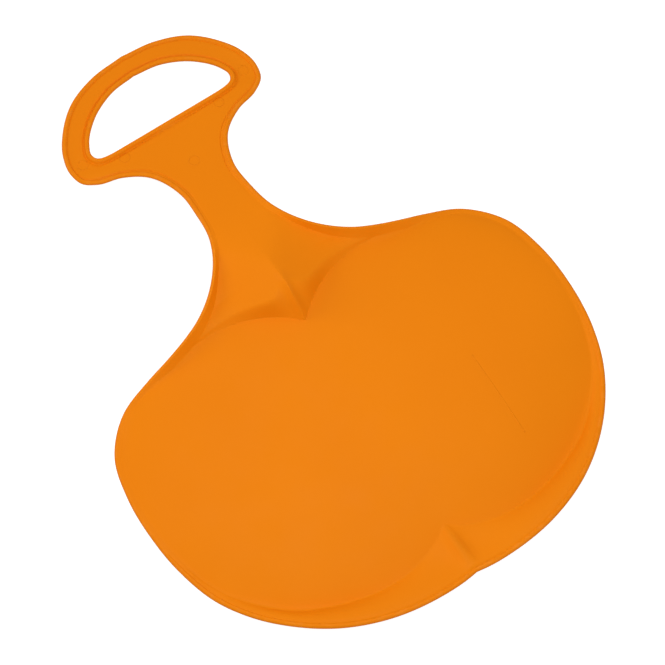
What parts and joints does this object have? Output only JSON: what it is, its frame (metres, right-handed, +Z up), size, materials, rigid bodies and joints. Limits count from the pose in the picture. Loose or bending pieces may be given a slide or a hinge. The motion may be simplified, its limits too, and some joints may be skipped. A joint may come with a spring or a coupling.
{
  "type": "snow slider",
  "caption": "Flat moulded snow slider: a heart-shaped seat with a turned-up back lip, a raised neck and a flat looped hand grip.",
  "frame": {"origin": "middle of the footprint, on the ground that the slider rests on", "axes": "+Y towards the grip, +Z up, +X to the right seen from behind the seat"},
  "size_m": [0.4228, 0.5602, 0.0415],
  "materials": {
    "orange_plastic": "satin"
  },
  "bodies": {
    "root": {"seat_and_grip_moulding": "orange_plastic"}
  },
  "joints": []
}
